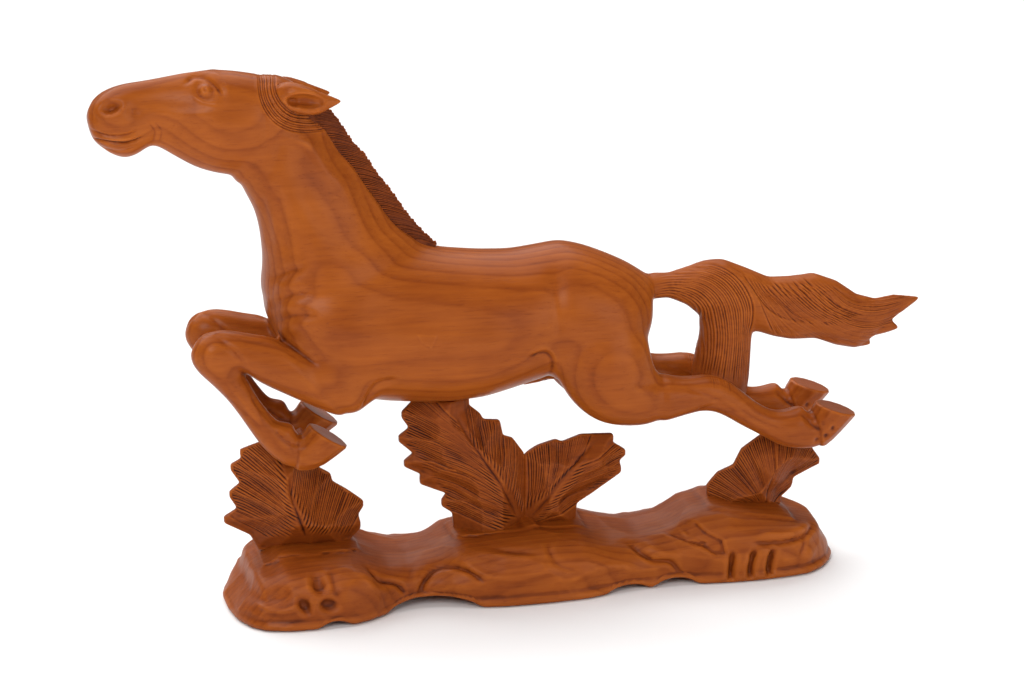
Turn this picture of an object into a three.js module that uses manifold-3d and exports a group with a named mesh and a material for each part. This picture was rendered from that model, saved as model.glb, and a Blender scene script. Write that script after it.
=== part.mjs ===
// A carved wooden figurine: a horse in a flying gallop over a rocky stand, carried on leafy fronds.
// Millimetres, +Z up. The nose points to -X, the left side of the horse faces -Y, and the stand rests on Z = 0.
//
// Every rounded form is a loft over "rungs". A rung [ax, az, bx, bz, y, w] is one cross-section seen
// from the side: its lower or front edge A, its upper or rear edge B, the middle's Y and the half-width.
import * as THREE from 'three';
import { mergeVertices } from 'three/addons/utils/BufferGeometryUtils.js';
import Module from 'manifold-3d';

const wasm = await Module();
wasm.setup();

// ---------------------------------------------------------------- driving dimensions
const GLUE_GAP = 0.3; // left between any two pieces
const LEG_Y = 26; // from the middle plane to the middle of each leg
const FAR_FORE = { x: 4, z: -2.5 }; // how far the right foreleg is carved out of line with the left
const FAR_HIND = { x: 0, z: -1.5 };
const FAR_EAR = { x: 0, z: -3 };
const HUGE = 900; // side of the boxes that stand for half of space

// ---------------------------------------------------------------- solids
function solidOf(geometry) {
  const bare = geometry.clone();
  bare.deleteAttribute('normal');
  bare.deleteAttribute('uv');
  const merged = mergeVertices(bare, 1e-3);
  const vertProperties = merged.attributes.position.array;
  const made = new wasm.Manifold(new wasm.Mesh({ numProp: 3, vertProperties, triVerts: merged.index.array }));
  if (made.volume() > 0) return made;
  const turned = Uint32Array.from(merged.index.array).reverse();
  return new wasm.Manifold(new wasm.Mesh({ numProp: 3, vertProperties, triVerts: turned }));
}

function geometryOf(solid) {
  const mesh = solid.getMesh();
  const geometry = new THREE.BufferGeometry();
  geometry.setAttribute('position', new THREE.BufferAttribute(mesh.vertProperties, 3));
  geometry.setIndex(new THREE.BufferAttribute(mesh.triVerts, 1));
  return geometry;
}

const joined = (...solids) => solids.reduce((whole, next) => whole.add(next));
const bySize = (solid) => solid.decompose().sort((a, b) => b.volume() - a.volume());

// Rings of points, each joined to the next, with a fan of triangles over both ends.
function skin(rings) {
  const sides = rings[0].length;
  const points = rings.flat();
  const faces = [];
  for (let r = 0; r + 1 < rings.length; r++) {
    for (let s = 0; s < sides; s++) {
      const a = r * sides + s;
      const b = r * sides + ((s + 1) % sides);
      faces.push(a, b, b + sides, a, b + sides, a + sides);
    }
  }
  const middle = (ring) => ring.reduce((sum, p) => sum.add(p), new THREE.Vector3()).divideScalar(sides);
  const first = points.push(middle(rings[0])) - 1;
  const last = points.push(middle(rings.at(-1))) - 1;
  const lastRing = (rings.length - 1) * sides;
  for (let s = 0; s < sides; s++) {
    const next = (s + 1) % sides;
    faces.push(first, next, s, last, lastRing + s, lastRing + next);
  }
  const geometry = new THREE.BufferGeometry().setFromPoints(points);
  geometry.setIndex(faces);
  return geometry;
}

// A loft over rungs. egg > 0 makes the B side of each section wider than the A side.
function loft(rungs, { sides = 12, perSpan = 2, egg = 0, grow = 0 } = {}) {
  const through = (pick) => new THREE.CatmullRomCurve3(rungs.map(pick), false, 'catmullrom', 0.5);
  const lower = through(([ax, az, , , y]) => new THREE.Vector3(ax, y, az));
  const upper = through(([, , bx, bz, y]) => new THREE.Vector3(bx, y, bz));
  const width = through(([, , , , , w], i) => new THREE.Vector3(w, i, 0));
  const rings = [];
  const steps = (rungs.length - 1) * perSpan;
  for (let i = 0; i <= steps; i++) {
    const a = lower.getPoint(i / steps);
    const b = upper.getPoint(i / steps);
    const w = Math.max(width.getPoint(i / steps).x, 0.4) + grow;
    const centre = a.clone().add(b).multiplyScalar(0.5);
    const half = b.clone().sub(a).multiplyScalar(0.5);
    half.setLength(half.length() + grow);
    const ring = [];
    for (let s = 0; s < sides; s++) {
      const angle = (2 * Math.PI * s) / sides;
      const point = centre.clone().addScaledVector(half, Math.cos(angle));
      point.y += w * Math.sin(angle) * (1 + egg * Math.cos(angle));
      ring.push(point);
    }
    rings.push(ring);
  }
  return solidOf(skin(rings));
}

// The half of space to the left of a walk from p to q, points [x, z] seen from -Y, less half a glue gap.
function leftOf(p, q) {
  const along = new THREE.Vector2(q[0] - p[0], q[1] - p[1]).normalize();
  const box = new THREE.BoxGeometry(HUGE, HUGE, HUGE);
  box.translate(0, 0, HUGE / 2 + GLUE_GAP / 2);
  box.rotateY(-Math.atan2(along.y, along.x));
  box.translate(p[0], 0, p[1]);
  return solidOf(box);
}
const rightOf = (p, q) => leftOf(q, p);

// A saw cut from p to q, as wide as a glue gap.
function kerf(p, q) {
  const box = new THREE.BoxGeometry(Math.hypot(q[0] - p[0], q[1] - p[1]), HUGE, GLUE_GAP);
  box.rotateY(-Math.atan2(q[1] - p[1], q[0] - p[0]));
  box.translate((p[0] + q[0]) / 2, 0, (p[1] + q[1]) / 2);
  return solidOf(box);
}

// The half of space on one side of the middle plane: side -1 is the horse's left, 1 its right.
function half(side) {
  const box = new THREE.BoxGeometry(HUGE, HUGE, HUGE);
  box.translate(0, side * (HUGE / 2), 0);
  return solidOf(box);
}

// The same rungs on the other side of the middle plane, moved by the carver's error there.
const mirrored = (rungs, { x, z }) =>
  rungs.map(([ax, az, bx, bz, y, w]) => [ax + x, az + z, bx + x, bz + z, -y, w]);
const moved = (line, { x, z }) => line.map(([px, pz]) => [px + x, pz + z]);

// ---------------------------------------------------------------- horse: rungs
const TORSO = [
  [-151.5, 189, -151.5, 197, 0, 8],
  [-149, 178, -149, 208, 0, 19],
  [-143, 165, -143, 216, 0, 29],
  [-132, 151, -132, 222, 0, 35],
  [-118, 137, -118, 225, 0, 39],
  [-100, 125.5, -100, 223, 0, 41],
  [-80, 121, -80, 219, 0, 41.5],
  [-60, 119, -60, 215.5, 0, 42.5],
  [-40, 118, -40, 212, 0, 43],
  [-20, 119.5, -20, 209.5, 0, 43],
  [0, 124.5, 0, 208.5, 0, 41],
  [16, 129, 16, 210.5, 0, 38.5],
  [30, 131, 30, 212.5, 0, 38],
  [45, 130, 45, 208.5, 0, 38],
  [60, 131, 60, 202, 0, 36],
  [72, 137, 72, 196, 0, 31],
  [81, 150, 81, 190, 0, 22],
  [87, 163, 87, 186, 0, 10],
];
const NECK = [
  [-148, 178, -42, 212, 0, 36],
  [-151, 194, -55, 218, 0, 33],
  [-150.5, 214, -68, 226.5, 0, 28],
  [-152, 230, -80, 238, 0, 24],
  [-155, 243, -92, 253, 0, 21],
  [-161, 254, -104, 270.5, 0, 19],
  [-167, 262, -114, 286, 0, 18],
  [-165, 275, -124, 303, 0, 17.5],
  [-163, 290, -136, 314, 0, 15],
];
const HEAD = [
  [-249.5, 297, -250.5, 303, 0, 6],
  [-247, 289, -248, 310, 0, 10],
  [-240, 282.5, -240, 317.2, 0, 13],
  [-230, 277.3, -230, 321, 0, 14],
  [-221, 279.5, -220, 322.3, 0, 12.5],
  [-213, 284, -210, 323.5, 0, 12],
  [-203, 278.5, -200, 325, 0, 13.5],
  [-190, 270.5, -190, 326.3, 0, 16.5],
  [-178, 266, -177, 327, 0, 19.5],
  [-165, 263.5, -163, 325.5, 0, 20],
  [-152, 264, -150, 323, 0, 19.5],
  [-143, 271, -138, 321.5, 0, 17],
  [-133, 281, -126, 315, 0, 11],
];
const LEFT_FORELEG = [
  [-108, 168, -82, 134, -22, 12],
  [-120, 163, -97, 120.5, -24.5, 15],
  [-134, 165, -109, 119.5, -25.5, 15.5],
  [-148, 171.5, -122, 125.5, -LEG_Y, 15],
  [-163, 175, -142, 136, -LEG_Y, 13.5],
  [-178, 178.3, -157, 144.5, -LEG_Y, 12],
  [-190, 176.5, -167, 153.5, -LEG_Y, 11.3],
  [-198.3, 165, -168, 152, -LEG_Y, 11.3],
  [-195, 155, -166.5, 149, -LEG_Y, 10.5],
  [-188, 147.5, -163, 144, -LEG_Y, 9.8],
  [-178, 136.5, -158.5, 135.5, -LEG_Y, 9],
  [-170, 125, -152, 126, -LEG_Y, 8.5],
  [-162, 112, -146, 119.5, -LEG_Y, 8.7],
  [-154, 101, -138, 118.3, -LEG_Y, 9.8],
  [-144, 92.5, -135.5, 110.5, -LEG_Y, 9.5],
  [-132, 89, -130, 110, -LEG_Y, 10],
];
const LEFT_FORE_HOOF = [
  [-140, 90.5, -138, 108, -LEG_Y, 9],
  [-131, 88.5, -132, 111, -LEG_Y, 11],
  [-120, 92, -130, 114, -LEG_Y, 12.3],
  [-106, 102, -128.5, 116, -LEG_Y, 13.5],
];
const LEFT_HIND_LEG = [
  [30, 172, 58, 184, -15, 8],
  [21, 152, 74, 166, -23, 15],
  [21, 134, 80, 148, -LEG_Y, 17.5],
  [31, 117, 82, 138, -LEG_Y, 17.5],
  [48, 104, 87, 133.5, -LEG_Y, 16],
  [72, 100.5, 97, 130.5, -LEG_Y, 14.5],
  [92, 104, 108, 130, -LEG_Y, 12.5],
  [110, 107.5, 119, 129.8, -LEG_Y, 11],
  [122, 105, 132, 122.5, -LEG_Y, 9.8],
  [135, 97, 145, 111.5, -LEG_Y, 8.8],
  [147, 90, 157, 104.7, -LEG_Y, 8.8],
  [160, 82, 168, 105.3, -LEG_Y, 9.6],
  [171, 78.8, 175, 107, -LEG_Y, 9.8],
  [181, 78.5, 178, 101, -LEG_Y, 9.5],
  [190, 80.5, 184, 101, -LEG_Y, 10],
];
const LEFT_HIND_HOOF = [
  [181, 79, 176, 99, -LEG_Y, 9],
  [189, 80, 180.5, 102, -LEG_Y, 11],
  [198, 88, 183, 105, -LEG_Y, 12.3],
  [208.5, 99.5, 184, 107, -LEG_Y, 13.5],
];
const TAIL_PLUME = [
  [76, 171, 74, 191, 0, 9],
  [86, 172, 86, 188.5, 0, 8.5],
  [96, 172.5, 97, 188, 0, 9],
  [108, 167, 108, 191, 0, 12],
  [118, 158, 119, 194.5, 0, 15],
  [133, 152, 131, 194.5, 0, 17],
  [150, 148, 146, 188, 0, 17],
  [162, 143, 160, 181.3, 0, 16],
  [174, 140.5, 174, 181, 0, 15],
  [190, 140, 188, 182.5, 0, 14],
  [203, 134.8, 203, 176.5, 0, 12.5],
  [216, 132, 216, 167, 0, 10],
  [228, 139, 228, 163.3, 0, 7],
  [241, 150, 240, 165, 0, 4.5],
  [258, 161.5, 258, 162.5, 0, 1],
];
const PLUME_TIP_MIDDLE = [
  [215, 140, 215, 156, 0, 6],
  [230, 139, 232, 154, 0, 4.5],
  [244.5, 142.5, 244.5, 144, 0, 1.2],
];
const PLUME_TIP_LOWER = [
  [205, 136, 205, 150, 0, 6],
  [217, 132.3, 218, 144, 0, 4],
  [227, 133.5, 227, 135, 0, 1.2],
];
const TAIL_FALL = [
  [118, 172, 150, 172, 0, 13],
  [116, 158, 151, 158, 0, 15.5],
  [117, 148, 149.5, 147, 0, 16.5],
  [114, 136, 149, 134, 0, 17],
  [112, 123, 148.5, 121, 0, 17],
  [113, 110, 147, 108, 0, 15],
  [118, 104, 142, 103, 0, 9],
];
const SHEATH = [
  [32, 127, 30, 140, 0, 5],
  [22, 125.5, 20, 135, 0, 4.2],
  [7, 123.5, 6, 128.5, 0, 2.6],
];
const LEFT_EAR = [
  [-143, 307, -143, 316, -9, 4],
  [-138, 306, -139, 319, -12, 6],
  [-131, 302, -133, 320, -14, 7],
  [-122, 301.3, -125, 317.5, -16, 6.3],
  [-114.5, 303.3, -115.5, 313.5, -17, 4],
  [-105.5, 308, -105.5, 309, -18, 0.8],
];

const TORSO_SKIN = { sides: 24, perSpan: 1, egg: -0.08 };
const NECK_SKIN = { sides: 20, perSpan: 1, egg: -0.3 };
const HEAD_SKIN = { sides: 18, perSpan: 2, egg: 0.08 };
const TAIL_SKIN = { sides: 14, perSpan: 1 };

// ---------------------------------------------------------------- horse: glue lines, points [x, z]
const WITHERS_TO_BREAST = [[-38, 218], [-160, 184]];
const POLL_FRONT = [[-150, 330], [-150, 284]];
const POLL_FOOT = [[-150, 284], [-80, 284]];
const THROAT_LATCH = [[-150, 284], [-162, 255]];
const ELBOWS = [[-153, 176], [-100, 116]];
const RUMP_FACE = [[84, 220], [84, 60]];
const FORE_CORONET = [[-134, 119], [-138.5, 80]];
const HIND_CORONET = [[180, 112], [188, 72]];
const TAIL_PARTING = [[108, 163], [156, 147]];

// ---------------------------------------------------------------- horse: pieces
const forelegs = [
  loft(LEFT_FORELEG),
  loft(LEFT_FORE_HOOF),
  loft(mirrored(LEFT_FORELEG, FAR_FORE)),
  loft(mirrored(LEFT_FORE_HOOF, FAR_FORE)),
];
const hindLegs = [
  loft(LEFT_HIND_LEG),
  loft(LEFT_HIND_HOOF),
  loft(mirrored(LEFT_HIND_LEG, FAR_HIND)),
  loft(mirrored(LEFT_HIND_HOOF, FAR_HIND)),
];
const trunk = joined(loft(TORSO, TORSO_SKIN), ...forelegs, ...hindLegs);
const crest = joined(loft(NECK, NECK_SKIN), loft(HEAD, HEAD_SKIN));
const upper = joined(trunk, crest).intersect(rightOf(...WITHERS_TO_BREAST));
const lower = joined(trunk, crest).intersect(leftOf(...WITHERS_TO_BREAST));

function pollHair() {
  return upper.intersect(leftOf(...POLL_FRONT)).intersect(leftOf(...POLL_FOOT));
}

function head() {
  const face = upper.intersect(rightOf(...POLL_FRONT)).intersect(leftOf([-400, 284], [-80, 284]));
  const jaw = upper.intersect(rightOf(...THROAT_LATCH)).intersect(rightOf([-400, 284.3], [-80, 284.3]));
  return joined(face, jaw);
}

function neck() {
  return upper.intersect(leftOf(...THROAT_LATCH)).intersect(rightOf(...POLL_FOOT));
}

// A leg and its hoof: the side of the trunk beyond the glue line, sawn through at the coronet.
function limb(beyond, side, coronet) {
  const whole = lower.intersect(beyond).intersect(half(side));
  const [leg, hoof] = bySize(whole.subtract(kerf(...coronet)));
  return { leg, hoof };
}

const torso = lower.intersect(leftOf(...ELBOWS)).intersect(rightOf(...RUMP_FACE));
const foreRegion = rightOf(...ELBOWS);
const hindRegion = leftOf(...RUMP_FACE);
const leftFore = limb(foreRegion, -1, FORE_CORONET);
const rightFore = limb(foreRegion, 1, moved(FORE_CORONET, FAR_FORE));
const leftHind = limb(hindRegion, -1, HIND_CORONET);
const rightHind = limb(hindRegion, 1, moved(HIND_CORONET, FAR_HIND));

// Everything that another piece is coped around, grown by the glue gap.
const grown = (rungs, options = {}) => loft(rungs, { ...options, grow: GLUE_GAP });
const grownLegs = joined(
  ...[LEFT_FORELEG, LEFT_FORE_HOOF].flatMap((rungs) => [grown(rungs), grown(mirrored(rungs, FAR_FORE))]),
  ...[LEFT_HIND_LEG, LEFT_HIND_HOOF].flatMap((rungs) => [grown(rungs), grown(mirrored(rungs, FAR_HIND))]),
);
const grownTorso = grown(TORSO, TORSO_SKIN);
const grownCrest = joined(grown(NECK, NECK_SKIN), grown(HEAD, HEAD_SKIN));

const wholeTail = joined(
  loft(TAIL_PLUME, TAIL_SKIN),
  loft(PLUME_TIP_MIDDLE, { sides: 8 }),
  loft(PLUME_TIP_LOWER, { sides: 8 }),
  loft(TAIL_FALL, TAIL_SKIN),
).intersect(leftOf(...RUMP_FACE)).subtract(grownLegs);
const tailPlume = wholeTail.intersect(leftOf(...TAIL_PARTING));
const tailFall = wholeTail.intersect(rightOf(...TAIL_PARTING));
const sheath = loft(SHEATH, { sides: 10, perSpan: 1 }).subtract(grownTorso).subtract(grownLegs);

// ---------------------------------------------------------------- mane
const MANE_THICKNESS = 9;
const MANE_STEPS = 16; // tufts cut into the outer edge
const MANE_STEP_DEPTH = 1.4;
const maneEdge = new THREE.CatmullRomCurve3(
  [
    [-120, 305], [-109, 301], [-101, 292], [-95, 281], [-87, 271.5], [-82, 259.5],
    [-73, 248.5], [-63.5, 237], [-54.5, 225.5], [-43, 214.5],
  ].map(([x, z]) => new THREE.Vector3(x, z, 0)),
);

function mane() {
  const outline = new THREE.Shape();
  const edge = maneEdge.getSpacedPoints(MANE_STEPS * 2);
  outline.moveTo(-62, 208);
  outline.lineTo(-100, 244);
  outline.lineTo(-128, 284);
  edge.forEach((point, i) => {
    const depth = i % 2 ? MANE_STEP_DEPTH : 0;
    outline.lineTo(point.x - depth, point.y - depth);
  });
  const plate = new THREE.ExtrudeGeometry(outline, { depth: MANE_THICKNESS, bevelEnabled: false });
  plate.rotateX(Math.PI / 2);
  plate.translate(0, MANE_THICKNESS / 2, 0);
  return solidOf(plate).subtract(grownCrest).subtract(grownTorso);
}

// ---------------------------------------------------------------- fronds
// A frond is a toothed leaf outline cut through an elliptic bolster that follows its midrib.
const FRONDS = {
  front_frond: {
    foot: [-134, 34],
    tip: [-137, 104],
    halfSpan: 47,
    halfThickness: 24,
    outline: [
      [-156, 34], [-161, 44], [-177, 53], [-167, 59], [-173, 69], [-165, 75], [-172, 86], [-164, 90],
      [-166, 95], [-150, 100], [-128, 104], [-121, 92], [-120, 81], [-112, 76], [-111, 71],
      [-102, 65], [-92, 57], [-96, 51], [-94, 43], [-103, 34],
    ],
  },
  belly_frond: {
    foot: [-4, 34],
    tip: [-46, 124],
    halfSpan: 46,
    halfThickness: 16,
    outline: [
      [-36, 36], [-37, 48], [-44, 53], [-39, 60], [-57, 68], [-56, 74], [-67, 80], [-59, 86], [-70, 96],
      [-62, 102], [-68, 111], [-61, 118], [-50, 128], [-36, 128], [-27, 118], [-27, 113], [-20, 107],
      [-18, 103], [-8, 102], [-6, 92], [0, 90], [7, 80], [7, 34],
    ],
  },
  flank_frond: {
    foot: [16, 32],
    tip: [62, 90],
    halfSpan: 38,
    halfThickness: 14,
    outline: [
      [7.4, 34], [7.4, 79], [16, 84], [27, 87], [31, 85], [43, 89], [63, 88], [62, 83], [71, 77],
      [66, 73], [68, 66], [59, 60], [50, 54], [40, 48], [39, 34],
    ],
  },
  rear_frond: {
    foot: [156, 36],
    tip: [162, 90],
    halfSpan: 46,
    halfThickness: 24,
    outline: [
      [124, 42], [123, 50], [130, 58], [140, 62], [145, 72], [157, 80], [168, 85], [184, 84], [190, 69],
      [195, 62], [178, 54], [177, 48], [170, 42], [170, 34], [130, 34],
    ],
  },
};

function frond({ foot, tip, halfSpan, halfThickness, outline }) {
  const shape = new THREE.Shape(outline.map(([x, z]) => new THREE.Vector2(x, z)));
  const depth = halfThickness * 2 + 8;
  const plate = new THREE.ExtrudeGeometry(shape, { depth, bevelEnabled: false });
  plate.rotateX(Math.PI / 2);
  plate.translate(0, depth / 2, 0);
  const length = Math.hypot(tip[0] - foot[0], tip[1] - foot[1]);
  const bolster = new THREE.CylinderGeometry(halfSpan * 0.86, halfSpan, length * 1.9, 28);
  bolster.scale(1, 1, halfThickness / halfSpan);
  bolster.rotateX(Math.PI / 2);
  bolster.rotateY(Math.atan2(tip[0] - foot[0], tip[1] - foot[1]));
  bolster.translate((foot[0] + tip[0]) / 2, 0, (foot[1] + tip[1]) / 2);
  return solidOf(plate).intersect(solidOf(bolster)).subtract(grownLegs).subtract(grownTorso);
}

// ---------------------------------------------------------------- rocky stand
// Sections [x, front, back, top, foot]: the reach towards -Y and +Y, the crown's height and the
// height at which the side starts to lean in.
const STAND = [
  [-179, 18, 3, 4, 2],
  [-176, 36, 14, 9, 4],
  [-170, 50, 26, 18, 8],
  [-162, 58, 38, 28, 11],
  [-148, 62, 50, 37, 13],
  [-130, 62.5, 56, 38, 13],
  [-112, 61, 57, 37.5, 12],
  [-98, 55, 55, 35, 11],
  [-84, 46, 49, 29.5, 10],
  [-68, 41, 45, 27, 9],
  [-52, 42, 43, 29, 9],
  [-36, 48, 45, 36.5, 10],
  [-14, 51, 47, 39, 11],
  [12, 51, 48, 39, 11],
  [36, 49, 47, 38.5, 11],
  [54, 44, 44, 33, 10],
  [74, 40, 39, 31, 9],
  [94, 39, 38, 35, 10],
  [110, 40, 40, 43.5, 11],
  [128, 42, 45, 45, 12],
  [148, 42, 46, 42, 13],
  [166, 40, 43, 39, 13],
  [180, 37, 38, 35, 12],
  [191, 28, 30, 27, 9],
  [198, 18, 20, 19, 6],
  [203, 7, 9, 10, 3],
];
const STAND_SIDES = 16;
// Hollows under the stand: [x, half-length, height].
const HOLLOWS = [[-120, 9, 4], [-58, 28, 7], [63, 13, 4], [94, 13, 5]];

function standRing([x, front, back, top, foot]) {
  const ring = [];
  for (let s = 0; s <= STAND_SIDES; s++) {
    const angle = (Math.PI * s) / STAND_SIDES;
    const across = Math.cos(angle);
    const rise = Math.sin(angle);
    const reach = (across < 0 ? front : back) * Math.sign(across) * Math.abs(across) ** 0.62;
    ring.push(new THREE.Vector3(x, reach, foot * Math.min(1, rise * 4) + (top - foot) * rise ** 0.8));
  }
  return ring;
}

function rockBase() {
  const rows = STAND.map((row) => new THREE.Vector3(row[0], row[1], row[2]));
  const heights = STAND.map((row) => new THREE.Vector3(row[0], row[3], row[4]));
  const reachAlong = new THREE.CatmullRomCurve3(rows, false, 'catmullrom', 0.5);
  const heightAlong = new THREE.CatmullRomCurve3(heights, false, 'catmullrom', 0.5);
  const steps = STAND.length - 1;
  const rings = [];
  for (let i = 0; i <= steps; i++) {
    const reach = reachAlong.getPoint(i / steps);
    const height = heightAlong.getPoint(i / steps);
    rings.push(standRing([reach.x, reach.y, reach.z, height.y, height.z]));
  }
  const hollows = HOLLOWS.map(([x, halfLength, height]) => {
    const arch = new THREE.CylinderGeometry(1, 1, HUGE, 16);
    arch.scale(halfLength, 1, height);
    arch.translate(x, 0, 0);
    return solidOf(arch);
  });
  return solidOf(skin(rings)).subtract(joined(...hollows));
}

// ---------------------------------------------------------------- assembly
const figurine = new THREE.Group();

const POLISHED = new THREE.MeshStandardMaterial({ color: 0xa9561f, roughness: 0.4, metalness: 0 });
const COMBED = new THREE.MeshStandardMaterial({ color: 0x7a3b18, roughness: 0.6, metalness: 0 });
const LEAFY = new THREE.MeshStandardMaterial({ color: 0x7c3f1c, roughness: 0.65, metalness: 0 });
const ROCKY = new THREE.MeshStandardMaterial({ color: 0x9a4c1f, roughness: 0.5, metalness: 0 });

function place(name, solid, material) {
  const mesh = new THREE.Mesh(geometryOf(bySize(solid)[0]), material);
  mesh.name = name;
  figurine.add(mesh);
}

const stand = rockBase();
const bed = stand.add(stand.translate([0, 0, GLUE_GAP])); // what the fronds stand in
const frondSolids = Object.entries(FRONDS).map(([name, shape]) => [name, frond(shape)]);
place('torso', torso, POLISHED);
place('neck', neck(), POLISHED);
place('head', head(), POLISHED);
place('poll_hair', pollHair(), COMBED);
place('mane', mane(), COMBED);
place('left_foreleg', leftFore.leg, POLISHED);
place('left_fore_hoof', leftFore.hoof, POLISHED);
place('right_foreleg', rightFore.leg, POLISHED);
place('right_fore_hoof', rightFore.hoof, POLISHED);
place('left_hind_leg', leftHind.leg, POLISHED);
place('left_hind_hoof', leftHind.hoof, POLISHED);
place('right_hind_leg', rightHind.leg, POLISHED);
place('right_hind_hoof', rightHind.hoof, POLISHED);
place('left_ear', loft(LEFT_EAR, { sides: 10 }).subtract(grownCrest), POLISHED);
place('right_ear', loft(mirrored(LEFT_EAR, FAR_EAR), { sides: 10 }).subtract(grownCrest), POLISHED);
place('tail_plume', tailPlume, COMBED);
place('tail_fall', tailFall, COMBED);
place('sheath', sheath, POLISHED);
frondSolids.forEach(([name, solid]) => place(name, solid.subtract(bed), LEAFY));
place('rock_base', stand, ROCKY);

// The origin goes to the middle of the footprint.
const middle = new THREE.Box3().setFromObject(figurine).getCenter(new THREE.Vector3());
figurine.position.set(-middle.x, -middle.y, 0);

export default figurine;
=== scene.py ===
"""A carved hardwood figurine: a horse in a flying gallop, carried on leafy fronds over a rocky stand.

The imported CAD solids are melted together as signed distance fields, so that their facets and glue gaps
disappear, then carved: broad forms and cuts first, hair, veins and gouge marks last. The finished skin is
parted again along the CAD's glue lines, so each CAD node is stood for by one closed piece.

Drawing units: millimetres on the carver's side view. X = 0 lies NOSE_TO_ZERO behind the nose tip, Y = 0
is the horse's middle plane (its left side at -Y), and Z = 0 is the floor.
"""
import math

import bmesh
import bpy
import numpy as np
import openvdb
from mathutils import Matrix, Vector


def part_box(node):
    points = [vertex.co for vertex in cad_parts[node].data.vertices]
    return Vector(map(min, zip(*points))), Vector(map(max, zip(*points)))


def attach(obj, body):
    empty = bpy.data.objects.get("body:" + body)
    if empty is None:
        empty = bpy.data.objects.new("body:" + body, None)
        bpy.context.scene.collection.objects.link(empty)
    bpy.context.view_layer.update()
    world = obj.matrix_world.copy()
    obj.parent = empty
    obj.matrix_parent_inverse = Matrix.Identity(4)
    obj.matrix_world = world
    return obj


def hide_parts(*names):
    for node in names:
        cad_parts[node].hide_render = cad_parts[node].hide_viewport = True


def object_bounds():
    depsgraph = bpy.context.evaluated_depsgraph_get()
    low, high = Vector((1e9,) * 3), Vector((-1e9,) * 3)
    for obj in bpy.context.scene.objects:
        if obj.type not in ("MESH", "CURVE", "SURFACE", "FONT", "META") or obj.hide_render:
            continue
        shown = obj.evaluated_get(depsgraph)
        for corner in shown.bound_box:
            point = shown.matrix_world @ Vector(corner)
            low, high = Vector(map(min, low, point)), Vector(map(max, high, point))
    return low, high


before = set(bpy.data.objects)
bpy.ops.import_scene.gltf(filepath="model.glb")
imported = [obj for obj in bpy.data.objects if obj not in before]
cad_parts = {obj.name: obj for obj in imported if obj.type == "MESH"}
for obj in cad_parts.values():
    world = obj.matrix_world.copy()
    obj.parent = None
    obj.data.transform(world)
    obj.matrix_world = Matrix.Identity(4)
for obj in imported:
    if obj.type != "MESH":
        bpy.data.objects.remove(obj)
CAD_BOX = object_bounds()

MM = 0.001
NOSE_TO_ZERO = 250.5
LEFT_TO_ZERO = 62.5
ZERO = np.array([CAD_BOX[0][0] / MM + NOSE_TO_ZERO, CAD_BOX[0][1] / MM + LEFT_TO_ZERO, 0.0])
STEP = 0.7
# how many voxels the distances reach to both sides of a skin
BAND = 10
# how far a blur and a drawing stroke reach, in units of their own width
BLUR_REACH = 2.6
STROKE_REACH = 2.2
COMB_SAMPLES = 40
# how deep the cut rims of the pieces are sunk into the wood
RIM_DEPTH = 6.0
# where the far legs and the far ear lie against the near ones, in X and Z
FAR_FORE = (4.0, -2.5)
FAR_HIND = (0.0, -1.5)
FAR_EAR_DROP = -3.0

random = np.random.default_rng(7)


def smoothstep(low, high, value):
    """0 at low, 1 at high, with an even slope between them."""
    t = np.clip((value - low) / (high - low), 0.0, 1.0)
    return t * t * (3.0 - 2.0 * t)


def placed(name, data):
    """A new object in the scene."""
    made = bpy.data.objects.new(name, data)
    bpy.context.scene.collection.objects.link(made)
    return made


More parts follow.
